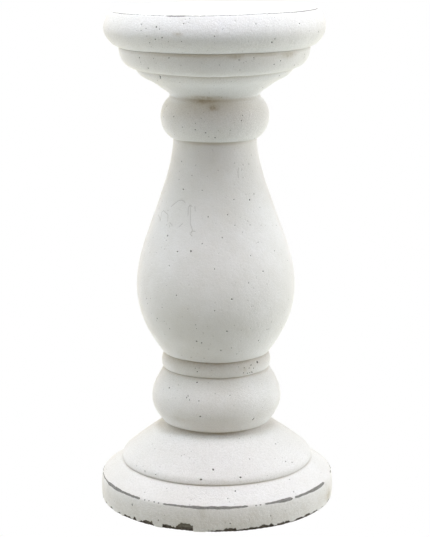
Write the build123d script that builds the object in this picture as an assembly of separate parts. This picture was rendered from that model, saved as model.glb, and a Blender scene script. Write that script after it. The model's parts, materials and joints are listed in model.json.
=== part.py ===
from build123d import *

import math
import os

# Baluster candlestick for a pillar candle, about 350 mm tall.
#
# Nine cast sections stand on one another. Each lower section has a round spigot on its top face that
# enters a socket in the underside of the section above, and a steel tie rod runs up the middle of all
# of them. The rod screws into a brass insert cast into the candle plate. A nut on its lower end,
# in a pocket under the plinth, clamps the whole stack. Four felt pads keep the plinth off the table.
#
# Millimetres. +Z is up the axis of the column, and the origin is on that axis, on the table.

# ---- Driving dimensions: section heights, from the table up ----
STAND_OFF = 0.3  # gap between the table and the plinth's rim, held by the pads
PLINTH_H = 28.2
BELL_H = 28.5
BULB_H = 39.5
COLLAR_H = 11.0
VASE_H = 153.5
BEAD_H = 29.5
LOWER_MOULDING_H = 19.0
UPPER_MOULDING_H = 15.0
PLATE_H = 25.5

# ---- Driving dimensions: widest radii ----
PLINTH_R = 83.7
BELL_R = 68.3
BULB_R = 46.2
COLLAR_R = 39.0
VASE_R = 55.9
BEAD_R = 38.0
NECK_R = 31.6
NECK_COVE = 1.9  # height of the cove that eases the bead into the neck
MOULDING_R = 66.3
PLATE_R = 76.5

# ---- Levels of the joint faces above the table ----
PLINTH_Z = STAND_OFF
BELL_Z = PLINTH_Z + PLINTH_H
BULB_Z = BELL_Z + BELL_H
COLLAR_Z = BULB_Z + BULB_H
VASE_Z = COLLAR_Z + COLLAR_H
BEAD_Z = VASE_Z + VASE_H
LOWER_MOULDING_Z = BEAD_Z + BEAD_H
UPPER_MOULDING_Z = LOWER_MOULDING_Z + LOWER_MOULDING_H
PLATE_Z = UPPER_MOULDING_Z + UPPER_MOULDING_H
TOP_Z = PLATE_Z + PLATE_H

# ---- Spigot and socket joints: radius of the spigot that stands on each section ----
PLINTH_SPIGOT_R = 40.0
BELL_SPIGOT_R = 24.0
BULB_SPIGOT_R = 24.0
COLLAR_SPIGOT_R = 24.0
VASE_SPIGOT_R = 18.0
BEAD_SPIGOT_R = 20.0
LOWER_MOULDING_SPIGOT_R = 30.0
UPPER_MOULDING_SPIGOT_R = 34.0
SPIGOT_H = 4.5
SPIGOT_CHAMFER = 0.6
SOCKET_CLEARANCE = 0.4  # on the radius, as rough castings need
SOCKET_TIP_GAP = 0.5  # so that the load goes through the ring faces and not the spigot's end

# ---- Dish in the plate: a sloping ring down to the flat seat for the candle ----
RIM_EDGE_R = 71.3  # outer edge of the flat rim
DISH_R = 65.0
SEAT_R = 43.0
SEAT_DEPTH = 3.5

# ---- Hollow of the vase ----
MOUTH_DEPTH = 9.0
HOLLOW_TOP = 136.0

# ---- Tie rod and its fittings, M8 ----
ROD_R = 4.0
ROD_BORE_R = 5.0
ROD_CHAMFER = 0.8
ROD_ENGAGEMENT = 10.0  # length of rod in the insert
THREAD_CLEARANCE = 0.03
INSERT_R = 7.0
INSERT_FLANGE_R = 9.0
INSERT_FLANGE_H = 1.5
INSERT_H = 12.0
INSERT_GROOVE = 0.8
POCKET_R = 21.0
POCKET_H = 14.5
PENNY_WASHER_R = 15.0
PENNY_WASHER_H = 2.0
WASHER_HOLE_R = 4.2
SPRING_WASHER_R = 7.4
SPRING_WASHER_H = 2.0
SPRING_WASHER_GAP = 1.6
NUT_FLATS = 13.0
NUT_H = 6.5
NUT_CHAMFER = 0.9
ROD_TAIL = 2.0  # rod showing below the nut

# ---- Underside of the plinth and its pads ----
UNDERSIDE_STEP_R = 77.0
UNDERSIDE_STEP = 1.5
PAD_R = 9.0
PAD_CIRCLE_R = 60.0
PAD_NAMES = ("felt_pad_front", "felt_pad_right", "felt_pad_back", "felt_pad_left")


def turned(*outline):
    """A solid of revolution about Z, from the outer outline of its half-section.

    The outline runs from bottom to top as (radius, height) and is closed through the axis."""
    low, high = outline[0] @ 0, outline[-1] @ 1
    closing = Polyline((high.X, high.Y), (0, high.Y), (0, low.Y), (low.X, low.Y))
    face = make_face(Curve() + list(outline) + closing)
    return revolve(Plane.XZ * face, Axis.Z)


def drum(radius, low, high):
    """A plain cylinder about Z between two heights."""
    return Pos(0, 0, (low + high) / 2) * Cylinder(radius, high - low)


def spigot(radius, foot):
    """The spigot that stands on a section's top face, with a chamfered end."""
    end = foot + SPIGOT_H
    return turned(
        Line((radius, foot - SPIGOT_H), (radius, end - SPIGOT_CHAMFER)),
        Line((radius, end - SPIGOT_CHAMFER), (radius - SPIGOT_CHAMFER, end)),
    )


def socket(radius):
    """The hollow in a section's underside that takes a spigot of this radius."""
    return drum(radius + SOCKET_CLEARANCE, 0, SPIGOT_H + SOCKET_TIP_GAP)


def bored(section, height):
    """A section with the hole for the tie rod through its whole height."""
    return section - drum(ROD_BORE_R, -1, height + SPIGOT_H + 1)


def plinth():
    """Foot disc: a slightly bulging side, a sloped shoulder, and a nut pocket underneath."""
    edge = 0.8
    shoulder_foot = 17.5
    body = turned(
        ThreePointArc((PLINTH_R - 1.1, 0), (PLINTH_R - 0.5, 0.25), (PLINTH_R - 0.25, edge)),
        ThreePointArc((PLINTH_R - 0.25, edge), (PLINTH_R, 8.0), (PLINTH_R - 0.75, shoulder_foot - edge)),
        ThreePointArc(
            (PLINTH_R - 0.75, shoulder_foot - edge),
            (PLINTH_R - 1.1, shoulder_foot),
            (PLINTH_R - 1.7, shoulder_foot + edge),
        ),
        Line((PLINTH_R - 1.7, shoulder_foot + edge), (BELL_R - 0.8, PLINTH_H)),
    )
    body += spigot(PLINTH_SPIGOT_R, PLINTH_H)
    body -= drum(UNDERSIDE_STEP_R, -1, UNDERSIDE_STEP)
    body -= drum(POCKET_R, 0, POCKET_H)
    return bored(body, PLINTH_H)


def bell_foot():
    """Domed foot that flares down to a rounded lip."""
    lip_r, lip_turn = 5.6, math.radians(50)
    centre_r, centre_z = BELL_R - lip_r, 1.0
    lip_end = (centre_r + lip_r * math.cos(lip_turn), centre_z + lip_r * math.sin(lip_turn))
    half_turn = lip_turn / 2
    lip_mid = (centre_r + lip_r * math.cos(half_turn), centre_z + lip_r * math.sin(half_turn))
    body = turned(
        Line((BELL_R, 0), (BELL_R, centre_z)),
        ThreePointArc((BELL_R, centre_z), lip_mid, lip_end),
        ThreePointArc(lip_end, (54.6, 14.5), (35.4, BELL_H)),
    )
    body += spigot(BELL_SPIGOT_R, BELL_H)
    body -= socket(PLINTH_SPIGOT_R)
    return bored(body, BELL_H)


def lower_bulb():
    """Cushion-shaped bulb under the collar."""
    body = turned(
        Spline(
            (38.2, 0), (42.9, 6.5), (45.3, 11.5), (BULB_R, 17.5), (45.3, 23.8), (42.1, 31.0), (37.4, BULB_H)
        )
    )
    body += spigot(BULB_SPIGOT_R, BULB_H)
    body -= socket(BELL_SPIGOT_R)
    return bored(body, BULB_H)


def collar_ring():
    """Narrow rounded ring between the bulb and the vase."""
    body = turned(ThreePointArc((38.0, 0), (COLLAR_R, 4.4), (36.6, COLLAR_H)))
    body += spigot(COLLAR_SPIGOT_R, COLLAR_H)
    body -= socket(BULB_SPIGOT_R)
    return bored(body, COLLAR_H)


def vase_body():
    """Pear-shaped vase, cast hollow with its mouth down."""
    body = turned(
        Spline(
            (37.7, 0),
            (44.8, 10.5),
            (52.5, 26.5),
            (VASE_R, 49.5),
            (53.8, 66.5),
            (46.3, 90.5),
            (37.8, 114.5),
            (30.9, 138.5),
            (29.2, VASE_H),
        )
    )
    mouth_r = COLLAR_SPIGOT_R + SOCKET_CLEARANCE
    hollow = turned(
        Line((mouth_r, 0), (mouth_r, MOUTH_DEPTH)),
        Spline(
            (mouth_r, MOUTH_DEPTH),
            (37.0, 18.0),
            (46.0, 47.0),
            (43.8, 66.5),
            (36.5, 90.5),
            (28.2, 114.5),
            (22.0, 131.0),
        ),
        Line((22.0, 131.0), (ROD_BORE_R, HOLLOW_TOP)),
    )
    return bored(body + spigot(VASE_SPIGOT_R, VASE_H) - hollow, VASE_H)


def neck_bead():
    """Round bead above the vase, a circular arc in section that is coved into the neck above it."""
    arc_r, arc_height = 18.0, 14.6
    centre_r = BEAD_R - arc_r
    low_r = centre_r + math.sqrt(arc_r**2 - arc_height**2)
    cove_foot = BEAD_H - NECK_COVE
    cove_foot_r = centre_r + math.sqrt(arc_r**2 - (cove_foot - arc_height) ** 2)
    body = turned(
        ThreePointArc((low_r, 0), (BEAD_R, arc_height), (cove_foot_r, cove_foot)),
        ThreePointArc((cove_foot_r, cove_foot), (NECK_R + 0.22, BEAD_H - 1.0), (NECK_R, BEAD_H)),
    )
    body += spigot(BEAD_SPIGOT_R, BEAD_H)
    body -= socket(VASE_SPIGOT_R)
    return bored(body, BEAD_H)


def lower_moulding():
    """Scooped cone that opens from the neck to a rounded shoulder."""
    cove_end = (NECK_R + 1.1, 2.3)
    body = turned(
        ThreePointArc((NECK_R, 0), (NECK_R + 0.28, 1.2), cove_end),
        Spline(cove_end, (38.4, 6.2), (44.8, 10.3), (52.2, 14.2), (55.4, LOWER_MOULDING_H)),
    )
    body += spigot(LOWER_MOULDING_SPIGOT_R, LOWER_MOULDING_H)
    body -= socket(BEAD_SPIGOT_R)
    return bored(body, LOWER_MOULDING_H)


def upper_moulding():
    """Quarter-round ring under the candle plate."""
    body = turned(Spline((57.4, 0), (62.6, 3.0), (65.2, 7.8), (MOULDING_R, UPPER_MOULDING_H)))
    body += spigot(UPPER_MOULDING_SPIGOT_R, UPPER_MOULDING_H)
    body -= socket(LOWER_MOULDING_SPIGOT_R)
    return bored(body, UPPER_MOULDING_H)


def insert_outline():
    """Outline of the brass insert: a flange, then a grooved barrel that the casting grips."""
    barrel = INSERT_R
    groove_r = barrel - INSERT_GROOVE
    flange_top = INSERT_FLANGE_H
    groove_low, groove_high = 4.5, 8.5
    return (
        Line((INSERT_FLANGE_R, 0), (INSERT_FLANGE_R, flange_top)),
        Polyline((INSERT_FLANGE_R, flange_top), (barrel, flange_top), (barrel, groove_low)),
        Polyline((barrel, groove_low), (groove_r, groove_low), (groove_r, groove_high)),
        Polyline((groove_r, groove_high), (barrel, groove_high), (barrel, INSERT_H)),
    )


def insert_foot():
    """Height of the insert's flange above the plate's joint face: the ceiling of the socket."""
    return SPIGOT_H + SOCKET_TIP_GAP


def candle_plate():
    """Top disc: a torus edge, a flat rim, and the shallow dish that the candle stands in."""
    body = turned(Spline((66.6, 0), (73.3, 4.7), (PLATE_R, 12.6), (74.8, 19.6), (RIM_EDGE_R, PLATE_H)))
    body -= turned(Line((SEAT_R, PLATE_H - SEAT_DEPTH), (DISH_R, PLATE_H)))
    body -= socket(UPPER_MOULDING_SPIGOT_R)
    body -= Pos(0, 0, insert_foot()) * turned(*insert_outline())
    return body


def threaded_insert():
    """Brass insert cast into the candle plate, with a plain bore in place of its thread."""
    return turned(*insert_outline()) - drum(ROD_R + THREAD_CLEARANCE, -1, INSERT_H + 1)


def clamp_levels():
    """Heights of the fittings under the pocket's ceiling: washer, spring washer, nut, rod's end."""
    ceiling = PLINTH_Z + POCKET_H
    washer = ceiling - PENNY_WASHER_H
    spring = washer - SPRING_WASHER_H
    nut = spring - NUT_H
    return washer, spring, nut, nut - ROD_TAIL


def tie_rod():
    """Steel rod through the whole stack, with chamfered ends."""
    low = clamp_levels()[3]
    high = PLATE_Z + insert_foot() + ROD_ENGAGEMENT
    return turned(
        Line((ROD_R - ROD_CHAMFER, low), (ROD_R, low + ROD_CHAMFER)),
        Line((ROD_R, low + ROD_CHAMFER), (ROD_R, high - ROD_CHAMFER)),
        Line((ROD_R, high - ROD_CHAMFER), (ROD_R - ROD_CHAMFER, high)),
    )


def penny_washer():
    """Wide washer that spreads the nut's load over the casting."""
    low = clamp_levels()[0]
    return drum(PENNY_WASHER_R, low, low + PENNY_WASHER_H) - drum(WASHER_HOLE_R, low - 1, low + 3)


def spring_washer():
    """Split lock washer, drawn clamped flat."""
    low = clamp_levels()[1]
    ring = drum(SPRING_WASHER_R, low, low + SPRING_WASHER_H) - drum(WASHER_HOLE_R, low - 1, low + 3)
    split = Rot(0, 0, 25) * Pos(SPRING_WASHER_R, 0, low + 1) * Box(2 * SPRING_WASHER_R, SPRING_WASHER_GAP, 4)
    return ring - split


def hex_nut():
    """M8 hexagon nut, chamfered on both faces, with a plain bore in place of its thread."""
    low = clamp_levels()[2]
    corner_r = NUT_FLATS / math.sqrt(3)
    prism = extrude(Pos(0, 0, low) * RegularPolygon(corner_r, 6), NUT_H)
    crown = turned(
        Line((corner_r - NUT_CHAMFER, low), (corner_r, low + NUT_CHAMFER / 2)),
        Line((corner_r, low + NUT_CHAMFER / 2), (corner_r, low + NUT_H - NUT_CHAMFER / 2)),
        Line((corner_r, low + NUT_H - NUT_CHAMFER / 2), (corner_r - NUT_CHAMFER, low + NUT_H)),
    )
    return (prism & crown) - drum(ROD_R + THREAD_CLEARANCE, low - 1, low + NUT_H + 1)


def felt_pad(index):
    """One felt disc, stuck inside the stepped underside of the plinth."""
    turn = 360 / len(PAD_NAMES) * index - 90
    thickness = STAND_OFF + UNDERSIDE_STEP
    return Rot(0, 0, turn) * Pos(PAD_CIRCLE_R, 0, thickness / 2) * Cylinder(PAD_R, thickness)


SECTIONS = {
    "plinth": (plinth, PLINTH_Z),
    "bell_foot": (bell_foot, BELL_Z),
    "lower_bulb": (lower_bulb, BULB_Z),
    "collar_ring": (collar_ring, COLLAR_Z),
    "vase_body": (vase_body, VASE_Z),
    "neck_bead": (neck_bead, BEAD_Z),
    "lower_moulding": (lower_moulding, LOWER_MOULDING_Z),
    "upper_moulding": (upper_moulding, UPPER_MOULDING_Z),
    "candle_plate": (candle_plate, PLATE_Z),
    "threaded_insert": (threaded_insert, PLATE_Z + insert_foot()),
}
FITTINGS = {
    "tie_rod": tie_rod,
    "penny_washer": penny_washer,
    "spring_washer": spring_washer,
    "hex_nut": hex_nut,
}

os.makedirs("parts", exist_ok=True)
for name, (make, level) in SECTIONS.items():
    export_step(Pos(0, 0, level) * make(), f"parts/{name}.step")
for name, make in FITTINGS.items():
    export_step(make(), f"parts/{name}.step")
for index, name in enumerate(PAD_NAMES):
    export_step(felt_pad(index), f"parts/{name}.step")
print("overall height", TOP_Z, "mm")
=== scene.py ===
"""Looks for the baluster candlestick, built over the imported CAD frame.

Every casting is rebuilt as a dense shell turned from the CAD node's own cross-section, with pinholes,
worn edges, chips and hairlines cut into it. Lengths are millimetres unless a name says otherwise; MM
turns them into Blender's metres. Azimuths are degrees from the front, positive to the right.
"""

import json
import math
import random

import bmesh
import bpy
import numpy as np
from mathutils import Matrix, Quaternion, Vector, geometry, kdtree, noise

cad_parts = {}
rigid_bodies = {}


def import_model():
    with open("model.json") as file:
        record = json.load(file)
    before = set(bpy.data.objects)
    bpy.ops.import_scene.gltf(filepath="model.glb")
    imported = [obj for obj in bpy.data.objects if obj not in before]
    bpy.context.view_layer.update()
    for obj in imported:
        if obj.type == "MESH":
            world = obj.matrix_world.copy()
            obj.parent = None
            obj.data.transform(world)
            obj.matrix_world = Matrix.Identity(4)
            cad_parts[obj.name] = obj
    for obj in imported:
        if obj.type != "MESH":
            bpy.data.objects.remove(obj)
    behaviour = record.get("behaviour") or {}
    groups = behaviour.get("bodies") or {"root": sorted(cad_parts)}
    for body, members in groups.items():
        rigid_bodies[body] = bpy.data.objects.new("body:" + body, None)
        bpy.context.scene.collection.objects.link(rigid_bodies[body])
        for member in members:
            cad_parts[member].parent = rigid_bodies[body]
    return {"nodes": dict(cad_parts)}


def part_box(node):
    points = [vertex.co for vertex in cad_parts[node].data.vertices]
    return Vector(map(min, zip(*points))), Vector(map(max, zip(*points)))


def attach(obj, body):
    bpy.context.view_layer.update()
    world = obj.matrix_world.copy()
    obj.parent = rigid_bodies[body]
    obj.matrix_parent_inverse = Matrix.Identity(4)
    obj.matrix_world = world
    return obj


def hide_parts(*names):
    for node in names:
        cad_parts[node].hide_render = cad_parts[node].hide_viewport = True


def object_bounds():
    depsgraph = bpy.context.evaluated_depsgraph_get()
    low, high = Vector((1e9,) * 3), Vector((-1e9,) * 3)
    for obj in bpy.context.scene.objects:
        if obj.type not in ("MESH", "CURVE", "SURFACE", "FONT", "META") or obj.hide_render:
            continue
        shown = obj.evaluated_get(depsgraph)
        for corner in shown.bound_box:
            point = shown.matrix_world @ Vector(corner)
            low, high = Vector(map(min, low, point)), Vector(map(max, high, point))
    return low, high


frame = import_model()
CAD_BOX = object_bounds()

MM = 0.001
BODY = "root"
RIM_Z = CAD_BOX[1][2] / MM
PLINTH_EDGE_Z = 17.8

# ---- The castings, from the table up ----
# columns round the axis, row spacing, how far the lower and upper visible corners are rounded off,
# and how rough the paint looks
CASTINGS = {
    "plinth": {"columns": 840, "step": 1.3, "foot": 0.5, "head": 0.8, "grain": 1.3},
    "bell_foot": {"columns": 420, "step": 1.1, "foot": 0.5, "head": 0.8, "grain": 1.6},
    "lower_bulb": {"columns": 320, "step": 1.1, "foot": 0.8, "head": 0.7, "grain": 1.2},
    "collar_ring": {"columns": 320, "step": 0.9, "foot": 1.1, "head": 0.8, "grain": 1.0},
    "vase_body": {"columns": 360, "step": 1.15, "foot": 1.3, "head": 0.5, "grain": 0.7},
    "neck_bead": {"columns": 280, "step": 1.0, "foot": 1.1, "head": 0.15, "grain": 1.4},
    "lower_moulding": {"columns": 340, "step": 1.0, "foot": 0.15, "head": 0.6, "grain": 1.3},
    "upper_moulding": {"columns": 420, "step": 1.0, "foot": 1.2, "head": 0.7, "grain": 1.1},
    "candle_plate": {"columns": 600, "step": 1.2, "foot": 1.3, "head": 1.3, "grain": 1.4},
}
LEAD_IN = 2.5  # how far the modelled surface carries on over each joint face
SHARP_TURN = math.radians(24)
DISH_INSIDE, DISH_STEP = 60.0, 3.0  # inside this radius the plate's rows are wider apart
# where the rows are closer, as (radius, height, reach, row spacing)
FINE_ROWS = {
    "plinth": ((83.2, PLINTH_EDGE_Z, 2.4, 0.3), (83.0, 3.0, 5.0, 0.45)),
    "candle_plate": ((71.3, RIM_Z, 2.0, 0.3),),
}
DENSE_STEP = 0.25  # between the points that rows are picked from
ROW_TURN, LEAST_ROW = math.radians(9), 0.12  # a tight curve gets a row at each such turn, this far apart
FILLET_PARTS = 5

# ---- Unevenness that all the castings share, so that their joints keep together ----
OUT_OF_ROUND = 0.32
OUT_OF_LEVEL = 0.35
LEVEL_FROM, LEVEL_FULL = 18.0, 45.0
SAG_Z, SAG, SAG_REACH = 309.5, 0.9, 9.0  # the joint between the mouldings dips in front
PLATE_TILT = math.radians(0.6)
PLATE_Z = 324.5

# ---- The paint's own surface, as (height, noise cells in a metre), and how deep marks go ----
WAVES = (0.16, 90)
TOOTH = (0.035, 420)
CALM_NEAR_JOINT = 4.0  # the waves die out over this distance from a joint
WORN_DEPTH, HAIR_DEPTH, CHIP_DEPTH = 0.10, 0.12, 0.4
CHIP_RAGGED = ((0.35, 520), (0.3, 1300))  # a chip's floor
CHIP_EDGE = ((0.45, 330), (0.5, 900))  # a chip's upper edge, as parts of its height

# ---- What the mesh attributes say where nothing is marked ----
UNMARKED = -9.0
PLAIN_FIELDS = {"worn": UNMARKED, "chip": UNMARKED, "pit": 0.0, "joint": 9.0, "line": 0.0, "stain_and_shade": 0.0}

# ---- Pinholes that stand out, as (azimuth, height, radius) ----
MARKED_PITS = {
    "candle_plate": (
        (-30, 342, 0.5), (-39.5, 343.5, 0.35), (-39, 340, 0.35), (-34.5, 331.5, 0.35), (-30.5, 334.5, 0.35),
        (-26.5, 335.5, 0.4), (0, 336.5, 0.3), (-15.5, 345, 0.35), (21, 344, 0.3), (48, 343, 0.35),
        (66, 335, 0.35), (30, 331, 0.45), (-28, 341, 0.3), (-36, 341, 0.3),
    ),
    "upper_moulding": (
        (-49.5, 320, 0.45), (-27, 321.5, 0.3), (42, 318, 0.35), (37.5, 316.5, 0.35), (58, 313.5, 0.4),
        (63, 313.5, 0.3), (-44.5, 313.5, 0.45), (23, 321, 0.3),
    ),
    "lower_moulding": (
        (-42, 307.5, 0.5), (-48.5, 304, 0.35), (-43.5, 303, 0.35), (-27, 304, 0.3), (54, 306.5, 0.35),
        (55.5, 297, 0.4),
    ),
    "neck_bead": ((-48, 279, 0.3), (-21, 270, 0.35), (-10, 268.5, 0.4), (0, 265, 0.4), (28, 276, 0.3)),
    "vase_body": (
        (-20, 188.5, 0.6), (-45, 197, 0.5), (-31.5, 187.5, 0.4), (37, 174, 0.4), (11, 157, 0.45),
        (8, 134.5, 0.4), (-16, 125.5, 0.45), (-12, 124.5, 0.4), (4, 119, 0.4), (-1, 150, 0.35),
        (-29, 159, 0.35), (-38, 229, 0.4), (38, 221, 0.4), (19.5, 223, 0.3), (-7, 212, 0.35),
        (5.5, 199, 0.35), (28, 185.5, 0.3), (-37, 178.5, 0.35), (-1, 177.5, 0.3), (-42, 148.5, 0.3),
        (-49, 139.5, 0.35), (-38, 133.5, 0.3), (37.5, 123.5, 0.35), (-29, 237.5, 0.3),
        (11.5, 213, 0.3), (-48.5, 247, 0.3),
    ),
    "collar_ring": (
        (49, 104.8, 0.65), (29, 99.5, 0.35), (30, 103, 0.3), (36, 102, 0.3), (39, 103.5, 0.35),
        (42, 101, 0.3), (34, 98.8, 0.35), (37, 98.2, 0.3), (-20, 101, 0.3),
    ),
    "lower_bulb": (
        (-20.5, 93.3, 0.4), (-51, 86.5, 0.4), (-28, 83, 0.35), (-27, 85, 0.3), (-25, 81.5, 0.3),
        (-14.5, 71, 0.45), (-16, 82, 0.3),
    ),
    "bell_foot": (
        (-2.5, 38.5, 0.6), (14, 33.2, 0.55), (-9.5, 32.4, 0.55), (55, 46, 0.4), (54.5, 35.5, 0.4),
        (-48, 31.5, 0.4), (-39, 31.5, 0.35), (24, 42, 0.35), (50, 37, 0.35), (-57, 33, 0.3),
    ),
    "plinth": (
        (10, 25.7, 0.45), (-45, 11.4, 0.5), (-29, 5.4, 0.4), (6, 6.6, 0.4), (42, 20.7, 0.35),
        (26, 9, 0.35),
    ),
}
SLASHES = (  # cuts rather than holes: casting, azimuth, height, half length, half width, slope in degrees
    ("lower_bulb", 35, 66.6, 1.0, 0.42, 52),
    ("lower_moulding", -42.5, 306.6, 0.8, 0.34, 62),
    ("collar_ring", 40, 98.4, 0.9, 0.3, -35),
)
PITS_PER_CM2 = 1.3
PIT_RADII = (0.12, 0.34)
FAINTNESS = (0.3, 0.95)
PIT_GAP = 0.9  # least paint between a pinhole and a joint
PIT_RINGS = (0.5, 0.85, 1.02, 1.25)  # rings of points round a pinhole, as parts of its radius

# ---- Wear on the plinth's upper edge and on the rim: width at each azimuth ----
PLINTH_EDGE = (
    (-86, 0), (-84, 0.8), (-69, 1.1), (-67.5, 2.2), (-56, 2.2), (-54, 1.7), (-41, 1.6), (-40, 0),
    (-37.9, 0), (-37.4, 1.0), (-36.8, 0), (-35.3, 0), (-34.8, 1.2), (-34.2, 0), (-32.4, 0), (-31.7, 1.4),
    (-31.0, 0), (-30.0, 0), (-29.3, 1.3), (-28.6, 0), (-27.4, 0), (-26, 1.3), (-13, 1.5), (-11, 2.1),
    (5, 2.2), (8, 1.7), (14, 1.5), (15.3, 0), (18.1, 0), (18.8, 1.2), (19.4, 0), (20.3, 0), (21, 1.2),
    (21.9, 0), (23, 0), (24, 1.2), (29, 1.6), (34, 2.7), (38, 2.8), (39.5, 0), (40.3, 0), (41, 1.5),
    (52, 1.8), (55, 2.4), (66, 1.9), (67.5, 0), (81.5, 0), (83, 1.1), (85.5, 0.9), (87, 0),
)
RIM_EDGE = (
    (-86, 0), (-78, 0.5), (-60, 0.8), (-44, 0.6), (-26, 0.7), (-24, 1.5), (-16, 1.6), (-13, 0.8), (10, 0.7),
    (38, 0.8), (55, 1.1), (72, 1.0), (80, 0.5), (86, 0),
)
RIM_EDGE_DROP = 0.55  # the worn line runs this far below the top of the rim
# ---- Chips along the plinth's foot: height at each azimuth ----
FOOT_CHIPS = (
    (-53, 0), (-51, 1.9), (-47, 2.1), (-46, 0.6), (-44.8, 1.2), (-44, 2.6), (-42.6, 2.4), (-42, 0.8),
    (-40.4, 0.9), (-39, 2.5), (-36, 3.3), (-33, 3.0), (-31.6, 1.5), (-31.2, 0), (-27.2, 0), (-26.8, 2.6),
    (-25, 3.2), (-22.8, 2.8), (-22.2, 1.6), (-20.6, 1.9), (-19.3, 2.9), (-18, 5.4), (-16.6, 6.4),
    (-14.6, 6.1), (-12.8, 5.0), (-11.5, 4.3), (-11.2, 0), (-6, 0), (-4, 1.1), (-1.4, 1.2), (0, 1.8),
    (2.2, 1.6), (3.2, 1.4), (4, 2.8), (7, 3.2), (8.6, 2.4), (9.2, 1.3), (11, 2.0), (14, 1.8), (15.4, 1.8),
    (19, 2.0), (21, 2.4), (26.5, 2.4), (28, 1.4), (30, 2.2), (36, 2.5), (37.4, 1.2), (39, 0.8), (41.8, 1.6),
    (43, 2.4), (46, 1.8), (50, 2.6), (52, 1.2), (54, 2.1), (57, 1.8), (59, 0),
)
# ---- Hairline scrawl on the vase: strokes of (azimuth, height) ----
VASE_HAIRLINES = (
    ((-50, 216), (-46, 218.3), (-42, 220.5), (-38.5, 221.3), (-35, 221), (-32, 219.6)),
    ((-27, 212), (-28, 217), (-26.5, 218.7), (-23.5, 217.8)),
    ((-26, 218), (-24.5, 212), (-23.5, 206.5), (-21.5, 204), (-20.5, 202), (-22, 200.8)),
    ((-21, 218), (-20, 215)),
    ((-21.5, 202), (-17.5, 201.7)),
    ((-22.5, 200), (-20.5, 199)),
    ((-68.5, 208.5), (-63.5, 207), (-61, 205), (-63, 211), (-60.5, 212.3), (-51.5, 210.5), (-49.5, 206.5)),
    ((-46.5, 205.6), (-43, 204.6)),
    ((-45.5, 203.6), (-45, 202.4)),
    ((-34.5, 203.8), (-31.5, 206.2)),
    ((30, 243), (28.3, 240), (28, 236)),
)
HAIR_REACH = 0.36  # half width of a hairline

# ---- Brown stains and painted shade: casting, azimuth, height, half width in degrees, half height, strength ----
STAINS_AND_SHADE = (
    # the neck's cove: brown patches that also paint the cove's shade
    ("neck_bead", -2, 285.6, 6, 1.9, 0.85),
    ("neck_bead", -14, 289.6, 17, 1.7, 0.7),
    ("lower_moulding", -12, 291.8, 18, 1.6, 0.6),
    # just under the candle plate's lower edge: painted shade with a brown tint
    ("upper_moulding", 12, 322.6, 4, 1.6, 0.6),
    ("upper_moulding", 48, 322.0, 7, 2.0, 0.6),
    ("upper_moulding", 33, 323.0, 9, 1.2, 0.4),
    ("upper_moulding", -20, 323.2, 22, 0.9, 0.25),
    ("candle_plate", -18.4, 338, 2.4, 1.2, 0.5),
    ("collar_ring", 30, 102, 8, 3.0, 0.3),
    # all round the collar's top, under the vase: painted shade
    ("collar_ring", 0, 106, 400, 3.2, 0.2),
    ("lower_bulb", -35, 66, 14, 2.0, 0.2),
    # all round the plinth's lower side: darker towards the foot
    ("plinth", 0, 7, 300, 7.0, 0.22),
    ("plinth", 72, 7, 7, 5.0, 0.7),
    ("plinth", -60, 6, 8, 5.0, 0.25),
    ("plinth", -7, 12, 3, 6.0, 0.25),
    ("plinth", 18, 10, 4, 7.0, 0.25),
    ("plinth", 46, 8, 6, 6.0, 0.25),
)

# ---- Colours, linear ----
# brown for the dirt and painted shade along the joints
JOINT_DIRT_AND_SHADE = (0.42, 0.36, 0.27, 1.0)
# brown for the stains, and for the painted shade that some of them stand for
STAIN_AND_SHADE_BROWN = (0.38, 0.315, 0.21, 1.0)
LOW_STONE = ((0.045, 0.034, 0.028, 1.0), (0.12, 0.10, 0.08, 1.0))  # in a chip, near the table
HIGH_STONE = ((0.11, 0.10, 0.08, 1.0), (0.22, 0.205, 0.165, 1.0))
BRASS, DULL_BRASS = (0.72, 0.50, 0.20, 1.0), (0.48, 0.32, 0.13, 1.0)
ZINC, DULL_ZINC = (0.66, 0.66, 0.64, 1.0), (0.46, 0.45, 0.42, 1.0)

# ---- The felt pads ----
FELT_COLUMNS = 96
FELT_SHOULDER, FELT_FUZZ = 0.45, 0.12

# ---- The studio: soft patches of light, as (azimuth, elevation, sharpness, colour) ----
SKY_PATCHES = (
    (0, 75, 60, (11.1, 10.1, 10.6)),
    (0, 65, 60, (4.4, 5.4, 4.6)),
    (-90, 70, 60, (1.4, 1.5, 2.4)),
    (100, 5, 15, (4.5, 4.6, 4.7)),
    (-100, 5, 15, (0.45, 0.85, 1.15)),
    (-130, -5, 15, (0.1, 0.5, 2.3)),
    (-135, 0, 6, (2.3, 1.85, 0.65)),
    (0, 0, 6, (0.4, 0.2, 0.0)),
    (135, -30, 6, (1.55, 1.55, 1.45)),
    (180, -30, 6, (1.9, 1.65, 1.15)),
    (-90, -30, 6, (0.85, 0.9, 0.9)),
    (45, -30, 6, (0.2, 0.3, 0.3)),
    (0, -60, 6, (0.8, 0.9, 0.95)),
)
# ---- Lamps close above the object: place in metres, side in metres, watts, colour ----
LAMPS = (
    ((0.0, -0.45, 0.95), 0.5, 2.3, (0.35, 0.58, 1.0)),
    ((0.0, 0.0, 0.75), 0.5, 1.4, (1.0, 1.0, 0.95)),
    ((-0.5, -0.3, 0.95), 0.5, 0.65, (1.0, 0.6, 0.1)),
    ((0.5, -0.3, 0.95), 0.5, 0.8, (1.0, 0.55, 0.1)),
)
LAMPS_AIM = (0.0, 0.0, 0.2)
SKY_STRENGTH = 1.04
STAGE_HALF = 40.0  # metres; a camera that clips nearer sees the sky patches above the floor's end
STAGE_COLUMNS = 48

# ---- The camera: metres and degrees ----
CAMERA_PLACE = (0.0, -1.184, 0.426)
CAMERA_DOWN = 12.35
CAMERA_ROLL = -0.33
CAMERA_LENS = 114.46
CAMERA_SHIFT = -0.0015
SENSOR = 36.0


def rng_for(name):
    """A random stream of its own for each feature, the same on every run."""
    return random.Random("candlestick " + name)


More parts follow.
